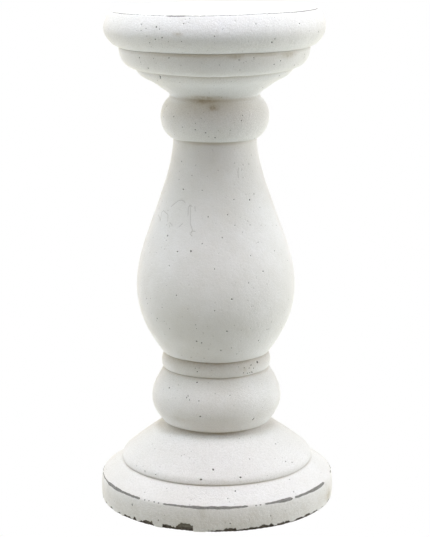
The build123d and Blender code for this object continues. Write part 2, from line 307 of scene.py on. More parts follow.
def azimuth_point(radius, azimuth, height):
    """A point in metres from cylindrical coordinates in millimetres and radians from the front."""
    return Vector((radius * math.sin(azimuth), -radius * math.cos(azimuth), height)) * MM


def step_up(value, low, high):
    """0 below low, 1 above high, smooth between."""
    t = max(0.0, min(1.0, (value - low) / (high - low)))
    return t * t * (3 - 2 * t)


def unevenness(radius, azimuth, height):
    """How far a point moves outward and up because the castings aren't quite round, level or straight."""
    around = Vector((1.1 * math.sin(azimuth), -1.1 * math.cos(azimuth), height / 70))
    out = OUT_OF_ROUND * noise.noise(around + Vector((3.7, 1.2, 5.1)))
    up = OUT_OF_LEVEL * noise.noise(around * 1.4 + Vector((8.3, 4.4, 0.6)))
    up -= SAG * math.cos(2 * azimuth) * math.exp(-(((height - SAG_Z) / SAG_REACH) ** 2))
    up *= step_up(height, LEVEL_FROM, LEVEL_FULL)
    near_axis = min(1.0, radius / 20)
    tilt = radius * math.sin(azimuth) * math.tan(PLATE_TILT) * step_up(height, PLATE_Z, RIM_Z)
    return out * near_axis, up * near_axis + tilt


# ---------------------------------------------------------------- outlines


def section_chain(node):
    """The cross-section of a turned CAD node where x >= 0, as an ordered list of (r, z) points."""
    bm = bmesh.new()
    bm.from_mesh(frame["nodes"][node].data)
    bmesh.ops.remove_doubles(bm, verts=bm.verts, dist=1e-6)
    for normal, clear in (((-1, 0, 0), True), ((0, 1, 0), False)):
        everything = bm.verts[:] + bm.edges[:] + bm.faces[:]
        cut = bmesh.ops.bisect_plane(
            bm, geom=everything, dist=1e-7, plane_co=(0, 0, 0), plane_no=normal, clear_outer=clear
        )
    links = {}
    for edge in (g for g in cut["geom_cut"] if isinstance(g, bmesh.types.BMEdge)):
        a, b = ((round(v.co.x / MM, 4), round(v.co.z / MM, 4)) for v in edge.verts)
        if a != b:
            links.setdefault(a, []).append(b)
            links.setdefault(b, []).append(a)
    bm.free()
    ends = sorted((p for p in links if len(links[p]) == 1), key=lambda p: p[1])
    start = ends[0] if ends else min(links)
    chain = [start]
    while True:
        onward = [p for p in links[chain[-1]] if len(chain) < 2 or p != chain[-2]]
        if not onward or onward[0] == start:
            break
        chain.append(onward[0])
    return straightened(chain, closed=not ends), not ends


def straightened(points, closed):
    """The same polyline without the points that lie on a straight run."""
    kept = []
    count = len(points)
    for i, p in enumerate(points):
        if not closed and i in (0, count - 1):
            kept.append(p)
            continue
        a, b = points[i - 1], points[(i + 1) % count]
        cross = (p[0] - a[0]) * (b[1] - p[1]) - (p[1] - a[1]) * (b[0] - p[0])
        reach = math.dist(a, b)
        if abs(cross) > 2e-4 * max(reach, 1e-6):
            kept.append(p)
    return kept


def outline_of(node, joint_top):
    """Splits a node's section into its outer stretch, bottom to top, and the hidden rest.

    joint_top is the height of the face that the next casting stands on, or None for the last one."""
    chain, closed = section_chain(node)
    bottom = min(z for _, z in chain)
    foot = max((p for p in chain if p[1] < bottom + 0.01), key=lambda p: p[0])
    if closed:
        i = chain.index(foot)
        chain = chain[i:] + chain[:i]
        if chain[1][1] - bottom < 0.01:
            chain = [chain[0]] + chain[:0:-1]
        shoulder = max((p for p in chain if abs(p[1] - joint_top) < 0.01), key=lambda p: p[0])
        j = chain.index(shoulder)
        return chain[: j + 1], chain[j:] + [chain[0]]
    i = chain.index(foot)
    if chain[-1][1] < chain[0][1]:
        chain = chain[::-1]
        i = chain.index(foot)
    return chain[i:], chain[: i + 1]


def turn_at(a, p, b):
    """How sharply a polyline turns at p."""
    first = math.atan2(p[1] - a[1], p[0] - a[0])
    second = math.atan2(b[1] - p[1], b[0] - p[0])
    return abs((second - first + math.pi) % (2 * math.pi) - math.pi)


def smooth_run(points):
    """Catmull-Rom points through a run with no sharp corner in it."""
    if len(points) < 3:
        return list(points)
    pts = [np.array(p, float) for p in points]
    pts = [2 * pts[0] - pts[1]] + pts + [2 * pts[-1] - pts[-2]]
    out = []
    for p0, p1, p2, p3 in zip(pts, pts[1:], pts[2:], pts[3:]):
        gaps = [max(np.linalg.norm(b - a), 1e-6) ** 0.5 for a, b in ((p0, p1), (p1, p2), (p2, p3))]
        t0 = 0.0
        t1, t2, t3 = t0 + gaps[0], t0 + gaps[0] + gaps[1], t0 + sum(gaps)
        steps = max(1, int(np.linalg.norm(p2 - p1) / DENSE_STEP))
        for k in range(steps):
            t = t1 + (t2 - t1) * k / steps
            a1 = (t1 - t) / (t1 - t0) * p0 + (t - t0) / (t1 - t0) * p1
            a2 = (t2 - t) / (t2 - t1) * p1 + (t - t1) / (t2 - t1) * p2
            a3 = (t3 - t) / (t3 - t2) * p2 + (t - t2) / (t3 - t2) * p3
            b1 = (t2 - t) / (t2 - t0) * a1 + (t - t0) / (t2 - t0) * a2
            b2 = (t3 - t) / (t3 - t1) * a2 + (t - t1) / (t3 - t1) * a3
            out.append(tuple((t2 - t) / (t2 - t1) * b1 + (t - t1) / (t2 - t1) * b2))
    out.append(tuple(points[-1]))
    return out


def split_at_corners(points):
    """Cuts a polyline into runs that have no sharp corner inside."""
    runs, run = [], [points[0]]
    for a, p, b in zip(points, points[1:], points[2:]):
        run.append(p)
        if turn_at(a, p, b) > SHARP_TURN:
            runs.append(run)
            run = [p]
    run.append(points[-1])
    runs.append(run)
    return runs


def along(points, distance):
    """The point this far along a polyline, and the index of the next vertex."""
    for i, (a, b) in enumerate(zip(points, points[1:])):
        length = math.dist(a, b)
        if distance <= length:
            f = distance / max(length, 1e-9)
            return (a[0] + f * (b[0] - a[0]), a[1] + f * (b[1] - a[1])), i + 1
        distance -= length
    return points[-1], len(points)


def length_of(points):
    return sum(math.dist(a, b) for a, b in zip(points, points[1:]))


def filleted(points, foot, head):
    """A smooth, densely sampled copy of a polyline, with each sharp corner rounded off.

    foot is how far back from the first corner the rounding starts, and head is the same for the others."""
    runs = [smooth_run(r) for r in split_at_corners(points)]
    result = []
    for i, run in enumerate(runs):
        fillet_before = foot if i == 1 else head
        fillet_after = foot if i == 0 else head
        trim_start = min(fillet_before, 0.45 * length_of(run)) if i else 0
        trim_end = min(fillet_after, 0.45 * length_of(run)) if i < len(runs) - 1 else 0
        start, first = along(run, trim_start)
        back, last = along(run[::-1], trim_end)
        body = [start] + run[first : len(run) - last] + [back]
        if result:
            a, corner, b = result[-1], run[0], body[0]
            for k in range(1, FILLET_PARTS):
                t = k / FILLET_PARTS
                weights = ((1 - t) ** 2, 2 * t * (1 - t), t * t)
                result.append(
                    tuple(weights[0] * a[n] + weights[1] * corner[n] + weights[2] * b[n] for n in (0, 1))
                )
        result.extend(body)
    return result


def rows_from(dense, step_at):
    """Picks rows from a dense polyline: closer on tight curves and wherever step_at asks."""
    rows = [dense[0]]
    travelled = turned = 0.0
    for a, p, b in zip(dense, dense[1:], dense[2:]):
        travelled += math.dist(a, p)
        turned += turn_at(a, p, b)
        if travelled >= step_at(p) or (turned > ROW_TURN and travelled > LEAST_ROW):
            rows.append(p)
            travelled = turned = 0.0
    if math.dist(rows[-1], dense[-1]) < 0.05:
        rows.pop()
    rows.append(dense[-1])
    return rows


# ---------------------------------------------------------------- surface features


class Shell:
    """The outer surface of one casting: its rows, and the features that are cut into it."""

    def __init__(self, node, rows, columns):
        self.node = node
        self.rows = rows
        self.columns = columns
        self.s = [0.0]
        for a, b in zip(rows, rows[1:]):
            self.s.append(self.s[-1] + math.dist(a, b))
        self.radius = np.array([r for r, _ in rows])
        self.height = np.array([z for _, z in rows])
        self.scale = max(self.radius)  # the unrolled sheet is as wide as the widest circle
        self.length = self.s[-1]
        self.open_top = self.radius[-1] < 1
        self.pits = []
        self.lines = []
        self.stains_and_shade = [stain_and_shade[1:] for stain_and_shade in STAINS_AND_SHADE if stain_and_shade[0] == node]
        self.worn = None
        self.chip = None

    def r_at(self, s):
        return float(np.interp(s, self.s, self.radius))

    def z_at(self, s):
        return float(np.interp(s, self.s, self.height))

    def s_at_height(self, z):
        """Arc length where the outside of the shell passes a height."""
        near = [i for i in range(len(self.s)) if abs(self.height[i] - z) < 1.2]
        if not near:
            near = [int(np.argmin(np.abs(self.height - z)))]
        return self.s[max(near, key=lambda i: self.radius[i] - 2 * abs(self.height[i] - z))]

    def gap(self, phi, s, phi2, s2):
        """Distance on the surface between two nearby points given as (azimuth in radians, arc length)."""
        turn = (phi - phi2 + math.pi) % (2 * math.pi) - math.pi
        return math.hypot(turn * self.r_at((s + s2) / 2), s - s2)


def scatter_pits(shell):
    """Pinholes: the marked ones, then others at random in loose clusters, clear of joints."""
    rng = rng_for("pits " + shell.node)
    chosen = []
    for azimuth, z, radius in MARKED_PITS[shell.node]:
        chosen.append((math.radians(azimuth), shell.s_at_height(z), radius))
    bands = zip(shell.rows, shell.rows[1:])
    area = sum(math.pi * (a[0] + b[0]) * math.dist(a, b) for a, b in bands)
    wanted = len(chosen) + int(area / 100 * PITS_PER_CM2)
    small, large = PIT_RADII
    for _ in range(40 * wanted):
        if len(chosen) >= wanted:
            break
        phi = rng.uniform(-math.pi, math.pi) * 0.985
        s = rng.uniform(0, shell.length)
        radius = small + (large - small) * rng.random() ** 2.4
        r = shell.r_at(s)
        crowding = 0.5 + 0.5 * noise.noise(azimuth_point(r, phi, shell.z_at(s)) * 55)
        clear = PIT_GAP + LEAD_IN + radius * 1.5
        if rng.random() > r / shell.scale or rng.random() > 1.7 * crowding**1.8:
            continue
        if s < clear or s > shell.length - clear or r < 12:
            continue
        if any(shell.gap(phi, s, p, q) < 1.4 * (radius + other) + 0.3 for p, q, other in chosen):
            continue
        chosen.append((phi, s, radius))
    marked = len(MARKED_PITS[shell.node])
    for i, (phi, s, radius) in enumerate(chosen):
        dark = 1.0 if i < marked else rng.uniform(*FAINTNESS) ** 1.5
        shell.pits.append(
            {
                "phi": phi,
                "s": s,
                "r": radius,
                "turn": rng.uniform(0, math.pi),
                "stretch": rng.uniform(1.0, 1.55),
                "rough": rng.uniform(0, 0.16),
                "dark": dark,
                "depth": radius * rng.uniform(1.2, 2.0) * dark,
            }
        )
    for node, azimuth, z, half_length, half_width, slope in SLASHES:
        if node == shell.node:
            shell.pits.append(
                {
                    "phi": math.radians(azimuth),
                    "s": shell.s_at_height(z),
                    "r": half_width,
                    "turn": math.radians(slope),
                    "stretch": half_length / half_width,
                    "rough": 0.1,
                    "dark": 1.0,
                    "depth": half_width * 1.5,
                }
            )


def pit_reach(pit, angle):
    """The pinhole's radius in one direction: an ellipse with a slightly ragged edge."""
    lean = angle - pit["turn"]
    ellipse = pit["r"] / math.hypot(math.cos(lean) / pit["stretch"], math.sin(lean))
    return ellipse * (1 + pit["rough"] * math.cos(3 * angle + 5 * pit["turn"]))


def pit_points(shell, pit):
    """Sheet points that give a pinhole its rings."""
    local_r = shell.r_at(pit["s"])
    count = 12 if pit["r"] > 0.27 else 8
    out = [(pit["phi"], pit["s"])]
    for ring, part in enumerate(PIT_RINGS if pit["r"] > 0.2 else PIT_RINGS[1:]):
        for k in range(count):
            angle = 2 * math.pi * (k + 0.5 * (ring % 2)) / count
            reach = part * pit_reach(pit, angle)
            out.append((pit["phi"] + reach * math.cos(angle) / local_r, pit["s"] + reach * math.sin(angle)))
    return out


def pit_depth(shell, tree, phi, s):
    """How deep the nearest pinholes cut at a sheet point, and how dark they make it: partly bare cement and
    dirt, partly painted shade of the hole.
    """
    deepest = 0.0
    shade = 0.0
    for _, i, _ in tree.find_n((phi * shell.scale, s, 0), 2):
        pit = shell.pits[i]
        along_s = s - pit["s"]
        across = (phi - pit["phi"]) * shell.r_at(pit["s"])
        reach = pit_reach(pit, math.atan2(along_s, across))
        part = math.hypot(across, along_s) / max(reach, 1e-6)
        if part < 1:
            deepest = max(deepest, pit["depth"] * (1 - part**4))
        # the painted darkness reaches a little past the hole's rim
        shade = max(shade, pit["dark"] * min(1.0, max(0.0, (1.22 - part) / 0.32)))
    return deepest, shade


def width_at(profile, degrees):
    """Reads a list of (azimuth, width) at an azimuth, going round past the back."""
    if degrees < profile[0][0]:
        degrees += 360
    return float(np.interp(degrees, [p[0] for p in profile], [p[1] for p in profile]))


def continued(profile, name, widths, runs, gaps):
    """The same kind of wear carried on round the back, where it is made up."""
    rng = rng_for(name)
    out = list(profile)
    at = profile[-1][0] + 1
    end = profile[0][0] + 360 - 1
    while at < end - 1:
        run = min(rng.uniform(*runs), end - at)
        out.append((at, 0))
        for part in (0.12, 0.35, 0.6, 0.85):
            out.append((at + run * part, rng.uniform(*widths)))
        out.append((at + run, 0))
        at += run + rng.uniform(*gaps)
    return out


def hairline(shell, line):
    """Sheet points along both sides of a hairline, and its path."""
    path = [(math.radians(a), shell.s_at_height(z) + z - shell.z_at(shell.s_at_height(z))) for a, z in line]
    r = shell.r_at(sum(s for _, s in path) / len(path))
    points = []
    for (p0, s0), (p1, s1) in zip(path, path[1:]):
        dx, dy = (p1 - p0) * r, s1 - s0
        length = math.hypot(dx, dy)
        steps = max(1, int(length / 0.4))
        for k in range(steps):
            t = k / steps
            for side in (-HAIR_REACH, 0.0, HAIR_REACH):
                phi = p0 + t * (p1 - p0) - side * dy / length / r
                points.append((phi, s0 + t * (s1 - s0) + side * dx / length))
    phis = [p for p, _ in path]
    places = [s for _, s in path]
    box = (min(phis) - 0.02, max(phis) + 0.02, min(places) - 1, max(places) + 1)
    return {"path": path, "r": r, "points": points, "box": box}


def line_closeness(shell, phi, s):
    """1 on a hairline, falling to 0 at HAIR_REACH from it."""
    near = HAIR_REACH
    for line in shell.lines:
        left, right, low, high = line["box"]
        if not left < phi < right or not low < s < high:
            continue
        r = line["r"]
        for (p0, s0), (p1, s1) in zip(line["path"], line["path"][1:]):
            ax, ay = (p1 - p0) * r, s1 - s0
            bx, by = (phi - p0) * r, s - s0
            t = max(0.0, min(1.0, (ax * bx + ay * by) / (ax * ax + ay * ay)))
            near = min(near, math.hypot(bx - t * ax, by - t * ay))
    return 1 - near / HAIR_REACH


def stain_and_shade_at(shell, degrees, z):
    """Strength of the brown stains and painted shade at a place."""
    total = 0.0
    for azimuth, height, wide, tall, strength in shell.stains_and_shade:
        apart = ((degrees - azimuth) / wide) ** 2 + ((z - height) / tall) ** 2
        if apart < 6:
            total = max(total, strength * math.exp(-apart))
    return total


def worn_band(profile, edge_s, wander, grain):
    """A worn line along an edge: positive inside it, in millimetres."""

    def worn(degrees, s, where):
        if abs(s - edge_s) > 3:
            return UNMARKED
        width = width_at(profile, degrees)
        if width < 0.05:
            return UNMARKED
        wobble = wander * noise.noise(where * grain)
        return width / 2 - abs(s - edge_s - wobble)

    return worn


def dress_plinth(shell):
    """Wear on the plinth: the worn line on its upper edge and the chips along its foot."""
    edge = continued(PLINTH_EDGE, "plinth edge", (0.5, 1.9), (2, 16), (0.5, 9))
    chips = continued(FOOT_CHIPS, "plinth chips", (0.4, 2.4), (2, 8), (1, 10))
    shell.worn = worn_band(edge, shell.s_at_height(PLINTH_EDGE_Z), 0.35, 160)
    foot_s = next(s for s, z in zip(shell.s, shell.height) if z > shell.height[0] + 0.15)

    def chip(degrees, s, where):
        rise = s - foot_s
        if rise > 8:
            return UNMARKED
        tall = width_at(chips, degrees)
        if tall < 0.05:
            return UNMARKED
        ragged = sum(size * noise.noise(where * per_metre) for size, per_metre in CHIP_EDGE)
        ragged = 1 + ragged * (1 if tall < 3 else 0.4)
        return tall * ragged - max(rise, 0.0)

    shell.chip = chip


def dress_rim(shell):
    """The worn line where the candle plate's flat rim meets its rounded edge."""
    edge = continued(RIM_EDGE, "rim edge", (0.4, 0.9), (12, 40), (1, 4))
    edge_s = next(s for s, z in zip(shell.s, shell.height) if z > RIM_Z - RIM_EDGE_DROP)
    shell.worn = worn_band(edge, edge_s, 0.3, 140)


# ---------------------------------------------------------------- shells


def sheet_points(shell):
    """The unrolled sheet's points: the grid, thinned near features, and the features' own points."""
    columns = shell.columns
    extra = []
    for pit in shell.pits:
        extra.extend(pit_points(shell, pit))
    for line in shell.lines:
        extra.extend(line["points"])
    blockers = kdtree.KDTree(len(extra))
    for i, (phi, s) in enumerate(extra):
        blockers.insert((phi * shell.scale, s, 0), i)
    blockers.balance()
    last = len(shell.rows) - 1
    points = []
    for j, s in enumerate(shell.s):
        squeeze = shell.scale / max(shell.radius[j], 1.0)
        for i in range(columns + 1):
            phi = -math.pi + 2 * math.pi * i / columns
            if 0 < j < last and 0 < i < columns:
                _, _, distance = blockers.find((phi * shell.scale, s, 0))
                if distance < 0.3 * squeeze**0.5:
                    continue
            points.append((phi, s))
    return points + extra


def joint_gap(shell, s):
    """Millimetres from the casting's upper joint, or from inside its lower one."""
    low = s - LEAD_IN + 1.2
    if shell.open_top:
        return low
    return min(low, shell.length - LEAD_IN - s)


def shell_mesh(shell, hidden, grain):
    """Turns the sheet into a closed mesh, with the wear and the paint's grain stored as attributes."""
    flat = [Vector((phi * shell.scale, s)) for phi, s in sheet_points(shell)]
    sheet, _, faces, _, _, _ = geometry.delaunay_2d_cdt(flat, [], [], 0, 1e-5)
    tree = kdtree.KDTree(len(shell.pits))
    for i, pit in enumerate(shell.pits):
        tree.insert((pit["phi"] * shell.scale, pit["s"], 0), i)
    tree.balance()

    slope_r = np.gradient(shell.radius, shell.s)
    slope_z = np.gradient(shell.height, shell.s)
    positions = []
    fields = {key: [] for key in PLAIN_FIELDS}
    for v in sheet:
        phi, s = v.x / shell.scale, v.y
        degrees = math.degrees(phi)
        r = shell.r_at(s)
        z = shell.z_at(s)
        out_r = float(np.interp(s, shell.s, slope_z))
        out_z = -float(np.interp(s, shell.s, slope_r))
        steep = math.hypot(out_r, out_z) or 1.0
        where = azimuth_point(r, phi, z)
        near_end = s if shell.open_top else min(s, shell.length - s)
        lift = WAVES[0] * noise.noise(where * WAVES[1]) * min(1.0, near_end / CALM_NEAR_JOINT)
        lift += TOOTH[0] * noise.noise(where * TOOTH[1]) * min(1.0, near_end)
        depth, pit_shade = pit_depth(shell, tree, phi, s)
        hair = line_closeness(shell, phi, s) if shell.lines else 0.0
        worn = shell.worn(degrees, s, where) if shell.worn else UNMARKED
        chip = shell.chip(degrees, s, where) if shell.chip else UNMARKED
        lift -= depth + HAIR_DEPTH * hair
        lift -= WORN_DEPTH * min(1.0, max(0.0, worn + 0.1) / 0.4)
        if chip > -0.15:
            ragged = sum(size * noise.noise(where * per_metre) for size, per_metre in CHIP_RAGGED)
            lift -= min(1.0, (chip + 0.15) / 0.45) * (CHIP_DEPTH + 0.6 * ragged)
        out, up = unevenness(r, phi, z)
        r += out + lift * out_r / steep
        positions.append(azimuth_point(max(r, 0.0), phi, z + up + lift * out_z / steep))
        fields["worn"].append(worn)
        fields["chip"].append(chip)
        fields["pit"].append(pit_shade)
        fields["joint"].append(joint_gap(shell, s))
        fields["line"].append(hair)
        fields["stain_and_shade"].append(stain_and_shade_at(shell, degrees, z))

    faces = [tuple(f) for f in faces]
    base = len(positions)
    across = shell.columns + 1
    for r, z in hidden:
        for i in range(across):
            phi = -math.pi + 2 * math.pi * i / shell.columns
            out, up = unevenness(r, phi, z)
            positions.append(azimuth_point(r + out, phi, z + up))
    for j in range(len(hidden) - 1):
        for i in range(shell.columns):
            a = base + j * across + i
            face = (a, a + 1, a + 1 + across, a + across)
            faces.append(face[::-1] if shell.open_top else face)
    for key, plain in PLAIN_FIELDS.items():
        fields[key].extend([plain] * (len(positions) - base))

    fields["grain"] = [grain] * len(positions)
    mesh = bpy.data.meshes.new("cast_" + shell.node)
    mesh.from_pydata([tuple(p) for p in positions], [], faces)
    for key, values in fields.items():
        layer = mesh.attributes.new(key, "FLOAT", "POINT")
        layer.data.foreach_set("value", np.array(values, dtype=np.float32))
    bm = bmesh.new()
    bm.from_mesh(mesh)
    bmesh.ops.remove_doubles(bm, verts=bm.verts, dist=2e-6)
    bmesh.ops.dissolve_degenerate(bm, edges=bm.edges, dist=1e-7)
    for face in bm.faces:
        face.smooth = True
    bm.to_mesh(mesh)
    bm.free()
    return mesh


def build_casting(node, joint_top, settings):
    """One casting's shell, from its CAD section."""
    outer, hidden = outline_of(node, joint_top)
    closed = outer[-1][0] > 1
    if closed:
        start, start_at = along(hidden[::-1], LEAD_IN)
        top, top_at = along(hidden, LEAD_IN)
        path = [start] + outer + [top]
        rest = [top] + hidden[top_at : len(hidden) - start_at] + [start]
    else:
        start, start_at = along(hidden[::-1], LEAD_IN)
        path = [start] + outer
        rest = [start] + hidden[::-1][start_at:]
    dense = filleted(path, settings["foot"], settings["head"])

    def step_at(p):
        for r, z, reach, small in FINE_ROWS.get(node, ()):
            if math.hypot(p[0] - r, p[1] - z) < reach:
                return small
        if not closed and p[0] < DISH_INSIDE:
            return DISH_STEP
        return settings["step"]

    shell = Shell(node, rows_from(dense, step_at), settings["columns"])
    scatter_pits(shell)
    if node == "vase_body":
        shell.lines = [hairline(shell, line) for line in VASE_HAIRLINES]
    if node == "plinth":
        dress_plinth(shell)
    if node == "candle_plate":
        dress_rim(shell)
    return shell_mesh(shell, rest, settings["grain"])


# ---------------------------------------------------------------- materials


class Graph:
    """A few short ways to write a node tree."""

    def __init__(self, name):
        self.material = bpy.data.materials.new(name)
        self.material.use_nodes = True
        self.tree = self.material.node_tree
        self.shader = self.tree.nodes["Principled BSDF"]
        self.objects = self.add("ShaderNodeTexCoord").outputs["Object"]

    def add(self, kind, **values):
        node = self.tree.nodes.new(kind)
        for key, value in values.items():
            setattr(node, key, value)
        return node

    def put(self, socket, value):
        if isinstance(value, bpy.types.NodeSocket):
            self.tree.links.new(value, socket)
        else:
            socket.default_value = value

    def noise(self, scale, detail=2.0, roughness=0.5, stretch=None, distortion=0.0):
        node = self.add("ShaderNodeTexNoise")
        vector = self.objects
        if stretch:
            mapping = self.add("ShaderNodeMapping")
            self.put(mapping.inputs["Vector"], vector)
            mapping.inputs["Scale"].default_value = stretch
            vector = mapping.outputs["Vector"]
        self.put(node.inputs["Vector"], vector)
        node.inputs["Scale"].default_value = scale
        node.inputs["Detail"].default_value = detail
        node.inputs["Roughness"].default_value = roughness
        node.inputs["Distortion"].default_value = distortion
        return node.outputs["Fac"]

    def math(self, operation, a, b=0.0):
        node = self.add("ShaderNodeMath", operation=operation)
        self.put(node.inputs[0], a)
        self.put(node.inputs[1], b)
        return node.outputs[0]

    def ramp(self, value, low, high, start=0.0, end=1.0, smooth=True):
        node = self.add("ShaderNodeMapRange")
        node.interpolation_type = "SMOOTHSTEP" if smooth else "LINEAR"
        self.put(node.inputs["Value"], value)
        for key, number in (("From Min", low), ("From Max", high), ("To Min", start), ("To Max", end)):
            node.inputs[key].default_value = number
        return node.outputs["Result"]

    def mix(self, factor, a, b):
        node = self.add("ShaderNodeMix", data_type="RGBA")
        self.put(node.inputs[0], factor)
        self.put(node.inputs[6], a)
        self.put(node.inputs[7], b)
        return node.outputs[2]

    def field(self, name):
        return self.add("ShaderNodeAttribute", attribute_name=name).outputs["Fac"]

    def bump(self, height, strength, distance, under=None):
        node = self.add("ShaderNodeBump")
        self.put(node.inputs["Strength"], strength)
        node.inputs["Distance"].default_value = distance
        self.put(node.inputs["Height"], height)
        if under:
            self.put(node.inputs["Normal"], under)
        return node.outputs["Normal"]


def grey(value, warmth=0.0):
    """A near-neutral linear colour; warmth takes blue away."""
    return (value * (1 + 0.3 * warmth), value, value * (1 - warmth), 1.0)


def painted_casting():
    """Chalky white paint over grey cement: mottled, worn through at edges, stained, and dark in pinholes
    and joints, where dirt and bare cement go with painted shade.
    """
    g = Graph("painted_casting")
    cloud = g.noise(28, detail=4, roughness=0.55)
    patch = g.noise(120, detail=3, roughness=0.6)
    grain = g.noise(1500, detail=4, roughness=0.65)
    tooth = g.noise(520, detail=3, roughness=0.6)

    paint = g.mix(g.ramp(cloud, 0.3, 0.7), grey(0.80, 0.015), grey(0.86, -0.005))
    paint = g.mix(g.ramp(patch, 0.35, 0.75, 0.0, 0.22), paint, grey(0.74, 0.04))
    rough = g.field("grain")
    paint = g.mix(g.math("MULTIPLY", g.math("SUBTRACT", rough, 0.7), 0.42), paint, grey(0.97))
    speckle = g.math("MULTIPLY", g.ramp(grain, 0.35, 0.70, 0.0, 0.22), rough)
    paint = g.mix(speckle, paint, grey(0.48, 0.05))

    # Joints: a brownish darkening that fades with distance from each joint, with a noisy edge; partly dirt,
    # partly painted shade of the groove and of the shadow under the casting above
    spread = g.math("MULTIPLY", g.math("SUBTRACT", patch, 0.5), 3.0)
    joint_dirt_and_shade = g.ramp(g.math("ADD", g.field("joint"), spread), 0.2, 2.6, 0.24, 0.0)
    paint = g.mix(joint_dirt_and_shade, paint, JOINT_DIRT_AND_SHADE)
    # Brown stains; the ones in the neck's cove, under the plate's edge and round the collar's top are
    # painted shade
    blotch = g.ramp(g.math("ADD", tooth, g.math("MULTIPLY", patch, 0.5)), 0.55, 0.95, 0.45, 1.0)
    stain_and_shade = g.math("MULTIPLY", g.field("stain_and_shade"), blotch)
    paint = g.mix(stain_and_shade, paint, STAIN_AND_SHADE_BROWN)

    worn_noise = g.math("MULTIPLY", g.math("SUBTRACT", tooth, 0.5), 0.9)
    worn = g.ramp(g.math("ADD", g.field("worn"), worn_noise), -0.06, 0.10)
    cement = g.mix(g.ramp(grain, 0.35, 0.65), grey(0.16, 0.05), grey(0.31, 0.03))
    colour = g.mix(worn, paint, cement)

    chip_noise = g.math("MULTIPLY", g.math("SUBTRACT", tooth, 0.5), 0.6)
    chip = g.ramp(g.math("ADD", g.field("chip"), chip_noise), -0.05, 0.12)
    smear = g.noise(300, detail=4, roughness=0.7, stretch=(1.0, 1.0, 3.0))
    height = g.add("ShaderNodeSeparateXYZ")
    g.put(height.inputs[0], g.objects)
    low = g.mix(g.ramp(smear, 0.35, 0.68), *LOW_STONE)
    high = g.mix(g.ramp(smear, 0.35, 0.68), *HIGH_STONE)
    stone = g.mix(g.ramp(height.outputs["Z"], 0.0018, 0.0046), low, high)
    colour = g.mix(chip, colour, stone)

    # pinholes: dark grey in each hole and a little past its rim, partly bare cement and dirt, partly
    # painted shade of the hole
    colour = g.mix(g.math("MULTIPLY", g.field("pit"), 0.88), colour, grey(0.11, 0.04))
    colour = g.mix(g.math("MULTIPLY", g.field("line"), 0.6), colour, grey(0.36, 0.05))
    g.put(g.shader.inputs["Base Color"], colour)

    g.put(g.shader.inputs["Roughness"], g.ramp(patch, 0.2, 0.8, 0.66, 0.86))
    g.shader.inputs["Specular IOR Level"].default_value = 0.35
    normal = g.bump(grain, g.math("MULTIPLY", rough, 0.6), 0.0004)
    normal = g.bump(tooth, g.math("MULTIPLY", rough, 0.34), 0.0007, under=normal)
    normal = g.bump(patch, 0.16, 0.0016, under=normal)
    g.put(g.shader.inputs["Normal"], normal)
    return g.material


def metal(name, colour, dark, roughness):
    """Machined metal with faint turning marks and dull spots."""
    g = Graph(name)
    rings = g.noise(700, detail=2, stretch=(0.15, 0.15, 4.0))
    spots = g.noise(420, detail=3, roughness=0.6)
    g.put(g.shader.inputs["Base Color"], g.mix(g.ramp(spots, 0.4, 0.75), colour, dark))
    g.shader.inputs["Metallic"].default_value = 1.0
    g.put(g.shader.inputs["Roughness"], g.ramp(spots, 0.3, 0.8, roughness, roughness + 0.25))
    g.put(g.shader.inputs["Normal"], g.bump(rings, 0.12, 0.0002))
    return g.material


def felt_material():
    """Dark pressed felt, with a soft fibrous surface."""
    g = Graph("felt")
    fibres = g.noise(2600, detail=4, roughness=0.7, distortion=1.5)
    clumps = g.noise(420, detail=3)
    tone = g.mix(g.ramp(fibres, 0.3, 0.7), (0.020, 0.017, 0.015, 1.0), (0.075, 0.066, 0.060, 1.0))
    g.put(g.shader.inputs["Base Color"], tone)
    g.put(g.shader.inputs["Roughness"], g.ramp(clumps, 0.2, 0.8, 0.9, 1.0))
    g.shader.inputs["Sheen Weight"].default_value = 0.5
    g.put(g.shader.inputs["Normal"], g.bump(fibres, 0.8, 0.0006))
    return g.material


def wear_material(obj, material):
    """Gives an object this one material."""
    obj.data.materials.clear()
    obj.data.materials.append(material)


# ---------------------------------------------------------------- felt pads


def felt_piece(node, material):
    """A felt disc with a soft shoulder and a slightly fuzzy edge, in the CAD pad's place."""
    low, high = (Vector(p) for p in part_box(node))
    centre = (low + high) / 2
    radius = (high.x - low.x) / 2 / MM
    tall = (high.z - low.z) / MM
    soft = FELT_SHOULDER
    profile = [(0.0, 0.0), (radius * 0.5, 0.0), (radius - soft, 0.0), (radius - soft * 0.3, soft * 0.3)]
    profile += [(radius, soft), (radius, tall - 0.2), (radius - 0.1, tall), (0.0, tall)]
    bm = bmesh.new()
    rings = []
    for r, z in profile:
        ring = []
        for k in range(FELT_COLUMNS if r else 1):
            angle = 2 * math.pi * k / FELT_COLUMNS
            across, along_y = math.cos(angle), math.sin(angle)
            spread = 0.0
            if r > radius * 0.9:
                spread = FELT_FUZZ * noise.noise(Vector((9 * across, 9 * along_y, z + centre.x * 90)))
            point = Vector(((r + spread) * across, (r + spread) * along_y, z)) * MM
            ring.append(bm.verts.new(Vector((centre.x, centre.y, low.z)) + point))
        rings.append(ring)
    for a, b in zip(rings, rings[1:]):
        for k in range(FELT_COLUMNS):
            n = (k + 1) % FELT_COLUMNS
            if len(a) == 1:
                bm.faces.new((a[0], b[n], b[k]))
            elif len(b) == 1:
                bm.faces.new((a[k], a[n], b[0]))
            else:
                bm.faces.new((a[k], a[n], b[n], b[k]))
    mesh = bpy.data.meshes.new("soft_" + node)
    for face in bm.faces:
        face.smooth = True
    bm.to_mesh(mesh)
    bm.free()
    piece = bpy.data.objects.new("soft_" + node, mesh)
    bpy.context.collection.objects.link(piece)
    wear_material(piece, material)
    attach(piece, BODY)
    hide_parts(node)


# ---------------------------------------------------------------- stage, light and camera


